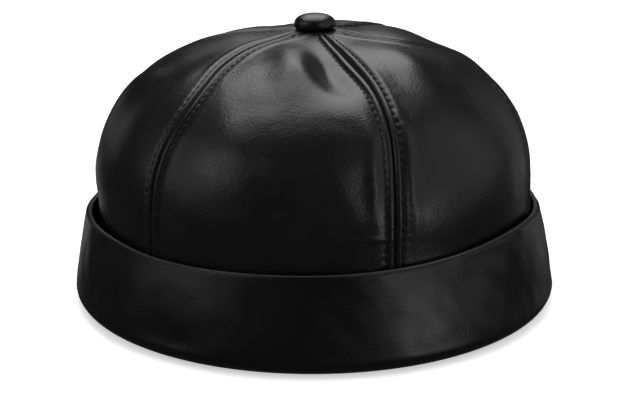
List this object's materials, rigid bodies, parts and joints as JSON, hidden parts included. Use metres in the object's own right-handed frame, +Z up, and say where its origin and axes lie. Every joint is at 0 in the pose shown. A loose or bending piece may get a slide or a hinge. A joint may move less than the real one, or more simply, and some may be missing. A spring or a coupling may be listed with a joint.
{
  "type": "brimless leather hat with a turned-up cuff",
  "caption": "Brimless black leather hat: a rounded crown of sewn panels with raised top-stitched seams, a covered button on top and a deep turned-up cuff.",
  "frame": {"origin": "on the surface that the hat stands on, under the middle of the foot of its cuff", "axes": "+Z up, the front of the hat towards -Y, its right side as seen in the picture towards +X"},
  "size_m": [0.2036, 0.2254, 0.1197],
  "materials": {
    "crown_leather": "smooth satin black leather with a fine grain",
    "cuff_leather": "smooth satin black leather with a fine grain, slightly duller than the crown",
    "button_leather": "stretched smooth black leather, glossier than the crown"
  },
  "bodies": {
    "root": {"panel_1": "crown_leather", "panel_2": "crown_leather", "panel_3": "crown_leather", "panel_4": "crown_leather", "panel_5": "crown_leather", "panel_6": "crown_leather", "cuff": "cuff_leather", "button": "button_leather"}
  },
  "joints": []
}
